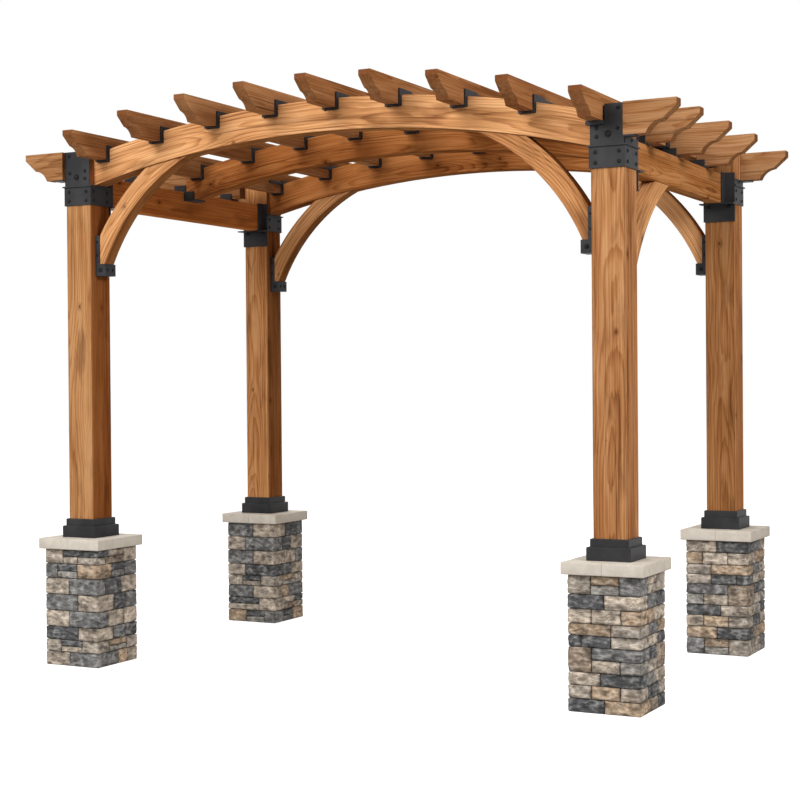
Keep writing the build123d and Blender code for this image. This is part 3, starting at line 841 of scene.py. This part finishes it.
def chipping(spot, luck):
    """Height of a split face: shallow scallops with sharp ridges, and smaller ones on them."""
    wide = noise.voronoi(Vector((spot.x * 19.0, spot.y * 19.0, spot.z * 34.0)) + luck)[0][0]
    small = noise.voronoi(Vector((spot.x * 48.0, spot.y * 48.0, spot.z * 80.0)) - luck)[0][0]
    grain = noise.fractal(spot * 90.0 + luck, 1.0, 2.0, 2)
    return 0.0105 * (wide - 0.42) + 0.0040 * (small - 0.42) + 0.0011 * grain


def stone_shell(low, high, luck, exposed):
    """Points, faces and relief of one stone: split on its exposed sides, with eased edges."""
    points, faces = stone_grid(low, high, exposed)
    centre = Vector([(low[a] + high[a]) / 2 for a in range(3)])
    half = [(high[a] - low[a]) / 2 for a in range(3)]
    lean = noise.noise(luck) * 0.003
    shaped = []
    relief = []
    for point in points:
        local = Vector(point) - centre
        inner = Vector([
            max(STONE_EASING - half[a], min(half[a] - STONE_EASING, local[a])) for a in range(3)
        ])
        out = local - inner
        here = centre + inner + (out.normalized() * STONE_EASING if out.length > 1e-9 else out)
        push = Vector((0.0, 0.0, 0.0))
        level = 0.5
        for axis, outward in exposed:
            if half[axis] - outward * local[axis] > STONE_EASING:
                continue
            across = 1 - axis
            edge = min(half[across] - abs(local[across]), half[2] - abs(local[2]))
            swell = min(1.0, max(0.0, edge / 0.010))
            rough = chipping(here, luck) + lean * local[2] / half[2]
            amount = -0.0008 + 0.0014 * swell + rough * (0.20 + 0.80 * swell)
            push[axis] += outward * max(-0.0085, min(0.0024, amount))
            # Relief value that the stone shader paints as shade where low, near the stone's edges and in
            # scallop hollows, and as light where high
            level = min(level + 0.5, 0.34 + 0.20 * swell + 85.0 * rough)
        shaped.append(here + push)
        relief.append(max(0.0, min(1.0, level)))
    return shaped, faces, relief


def pier_layout(courses, first, hand):
    """Boxes, kinds and exposed sides of the stones of one pier about its own centre."""
    rows = courses[first:] + courses[:first]
    scale = PIER_TOP / sum(row[0] for row in rows)
    half = PIER_HALF
    stones = []
    top = PIER_TOP
    for number, (height, front, (near, between, far)) in enumerate(rows):
        low = top - height * scale
        # The back and left side are the front and right side turned half round
        for turn in (1, -1):
            at = -half
            for order, (length, kind) in enumerate(front):
                ends = [(order == 0, far, -1), (order == len(front) - 1, near, 1)]
                depth = FACE_DEPTH
                exposed = [(1, -turn)]
                for is_end, corner_depth, way in ends:
                    if is_end:
                        depth = corner_depth / 1000
                        exposed.append((0, way * turn * hand))
                x = sorted((turn * hand * at, turn * hand * (at + length / 1000)))
                y = sorted((-turn * half, turn * (depth - half)))
                at += length / 1000
                if kind:
                    tall = kind.endswith(" tall")
                    floor = low - rows[number + 1][0] * scale if tall else low
                    stones.append(((x[0], y[0], floor), (x[1], y[1], top), kind.split()[0], exposed))
            x = sorted((turn * hand * half, turn * hand * (half - FACE_DEPTH)))
            y = sorted((turn * (near / 1000 - half), turn * (half - far / 1000)))
            stones.append(((x[0], y[0], low), (x[1], y[1], top), between, [(0, turn * hand)]))
        top = low
    return stones


def add_mortar(shape, centre, tint_layer, relief_layer):
    """Dark core just behind the faces of the stones, whose low relief is painted as shade."""
    width = 2 * (PIER_HALF - MORTAR_DEPTH)
    for vert in bmesh.ops.create_cube(shape, size=1.0)["verts"]:
        rise = (vert.co.z + 0.5) * (PIER_TOP - 0.002) + 0.001
        vert.co = centre + Vector((vert.co.x * width, vert.co.y * width, rise))
        vert[tint_layer] = MORTAR
        # Low relief, painted as shade on the mortar by the stone shader
        vert[relief_layer] = 0.2


def build_pier(corner, number, stone):
    """Ledge stones of one pier round a dark mortar core."""
    rng = random.Random(410 + number)
    side, end = CORNERS[corner]
    centre = Vector((side * POST_X, end * POST_Y, 0.0))
    shape = bmesh.new()
    tint_layer = shape.verts.layers.float_color.new("tint")
    relief_layer = shape.verts.layers.float.new("relief")
    gap = JOINT / 2
    for low, high, kind, exposed in pier_layout(*PIER_LAYING[corner]):
        inner_low = [low[a] + (0.0 if (a, -1) in exposed else gap) for a in range(3)]
        inner_high = [high[a] - (0.0 if (a, 1) in exposed else gap) for a in range(3)]
        luck = Vector((rng.uniform(0, 90), rng.uniform(0, 90), rng.uniform(0, 90)))
        points, faces, relief = stone_shell(inner_low, inner_high, luck, exposed)
        shade = rng.uniform(0.88, 1.12)
        tint = tuple(channel * shade for channel in STONE_TINTS[kind][:3]) + (1.0,)
        made = []
        for point, level in zip(points, relief):
            vert = shape.verts.new(centre + point)
            vert[tint_layer] = tint
            vert[relief_layer] = level
            made.append(vert)
        for face in faces:
            shape.faces.new([made[i] for i in face])
    loose = [vert for vert in shape.verts if not vert.link_faces]
    bmesh.ops.delete(shape, geom=loose, context="VERTS")
    add_mortar(shape, centre, tint_layer, relief_layer)
    made = finish_mesh("pier_stones_" + corner, shape, [stone], 30.0)
    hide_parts("pier_" + corner)
    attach(made, "root")


CAP_SEAM = 0.0006
CAP_EASING = 0.0045


def add_slab(shape, centre, sx, sy):
    """One quarter of a cap, with its outer edges rounded."""
    low = (CAP_SEAM, CAP_SEAM, PIER_TOP)
    high = (CAP_HALF, CAP_HALF, CAP_TOP)
    corners = bmesh.ops.create_cube(shape, size=1.0)["verts"]
    for vert in corners:
        share = (sx * vert.co.x + 0.5, sy * vert.co.y + 0.5, vert.co.z + 0.5)
        x, y, z = [low[a] + (high[a] - low[a]) * share[a] for a in range(3)]
        vert.co = centre + Vector((sx * x, sy * y, z))
    outer = []
    for edge in {edge for vert in corners for edge in vert.link_edges}:
        middle = (edge.verts[0].co + edge.verts[1].co) / 2 - centre
        if min(abs(middle.x), abs(middle.y)) > 2 * CAP_SEAM:
            outer.append(edge)
    bmesh.ops.bevel(
        shape, geom=outer, offset=CAP_EASING, offset_type="OFFSET", segments=3, profile=0.5,
        affect="EDGES",
    )


def build_cap(corner, material):
    """Cap of four cast slabs with fine joints."""
    side, end = CORNERS[corner]
    centre = Vector((side * POST_X, end * POST_Y, 0.0))
    shape = bmesh.new()
    for sx in (-1, 1):
        for sy in (-1, 1):
            add_slab(shape, centre, sx, sy)
    made = finish_mesh("cap_slabs_" + corner, shape, [material], 40.0)
    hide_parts("pier_cap_" + corner)
    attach(made, "root")


# Stage and light

WORLD_LIGHT = 0.24
WARM_SHADE = (1.0, 0.84, 0.64, 1.0)
WHITE = (1.0, 1.0, 1.0, 1.0)
FLOOR_REACH = 30.0
FLOOR_GLOW = 0.93


def seen_ray(tree):
    """1 for rays from the camera, a mirror or through glass, 0 for the rays that light the object."""
    path = place(tree, "ShaderNodeLightPath")
    seen = calc(tree, "MAXIMUM", path.outputs["Is Camera Ray"], path.outputs["Is Glossy Ray"])
    return calc(tree, "MAXIMUM", seen, path.outputs["Is Transmission Ray"])


def add_floor():
    """White floor that keeps a soft shadow."""
    mesh = bpy.data.meshes.new("floor")
    corners = [(x * FLOOR_REACH, y * FLOOR_REACH, 0.0) for x, y in ((-1, -1), (1, -1), (1, 1), (-1, 1))]
    mesh.from_pydata(corners, [], [(0, 1, 2, 3)])
    floor = bpy.data.objects.new("floor", mesh)
    bpy.context.scene.collection.objects.link(floor)
    material, tree, shader = new_material("floor_white")
    shader.inputs["Base Color"].default_value = (0.50, 0.50, 0.50, 1.0)
    shader.inputs["Roughness"].default_value = 0.9
    shader.inputs["Specular IOR Level"].default_value = 0.0
    strength = calc(tree, "MULTIPLY", seen_ray(tree), FLOOR_GLOW)
    glow = place(tree, "ShaderNodeEmission", {"Color": WHITE, "Strength": strength})
    mixed = place(tree, "ShaderNodeAddShader", {0: shader.outputs[0], 1: glow.outputs[0]})
    tree.links.new(mixed.outputs[0], tree.nodes["Material Output"].inputs["Surface"])
    mesh.materials.append(material)


def add_world():
    """White world that lights the object warmly."""
    world = bpy.data.worlds.new("white_room")
    bpy.context.scene.world = world
    world.use_nodes = True
    tree = world.node_tree
    background = tree.nodes["Background"]
    seen = seen_ray(tree)
    power = place(tree, "ShaderNodeMapRange", {"Value": seen, "To Min": WORLD_LIGHT, "To Max": 1.0})
    tree.links.new(power.outputs["Result"], background.inputs["Strength"])
    tree.links.new(blend(tree, seen, WARM_SHADE, WHITE), background.inputs["Color"])


def add_lamp(name, at, aim, size, watts, tint):
    """Soft area lamp aimed at a point."""
    data = bpy.data.lights.new(name, "AREA")
    data.shape = "SQUARE"
    data.size = size
    data.energy = watts
    data.color = tint
    lamp = bpy.data.objects.new(name, data)
    lamp.location = at
    lamp.rotation_euler = (Vector(aim) - Vector(at)).to_track_quat("-Z", "Y").to_euler()
    bpy.context.scene.collection.objects.link(lamp)


add_camera()
add_floor()
add_world()
add_lamp("key", (-2.0, -7.4, 5.2), (0.0, 0.0, 1.4), 4.4, 570.0, (0.98, 0.99, 1.0))
add_lamp("right_fill", (6.6, -2.8, 4.4), (0.4, 0.0, 1.4), 2.5, 320.0, (1.0, 1.0, 1.0))
add_lamp("overhead", (0.0, -0.6, 7.0), (0.0, 0.0, 1.0), 6.0, 90.0, (1.0, 1.0, 1.0))
add_lamp("behind", (-4.5, 7.0, 4.0), (0.0, 0.0, 1.4), 4.0, 300.0, (1.0, 0.99, 0.97))
bpy.context.scene.view_settings.view_transform = "Standard"

steel = steel_material("black_steel", colour(38, 38, 40), colour(52, 52, 54))
rivet = steel_material("rivet_steel", colour(16, 16, 17), colour(22, 22, 23))
cap_stone = cap_material()
ledge = stone_material()
dress_timber()
dress_steel(steel)
bracket_rivets(rivet)
shoe_rivets(rivet)
for number, corner in enumerate(CORNERS):
    build_pier(corner, number, ledge)
    build_cap(corner, cap_stone)
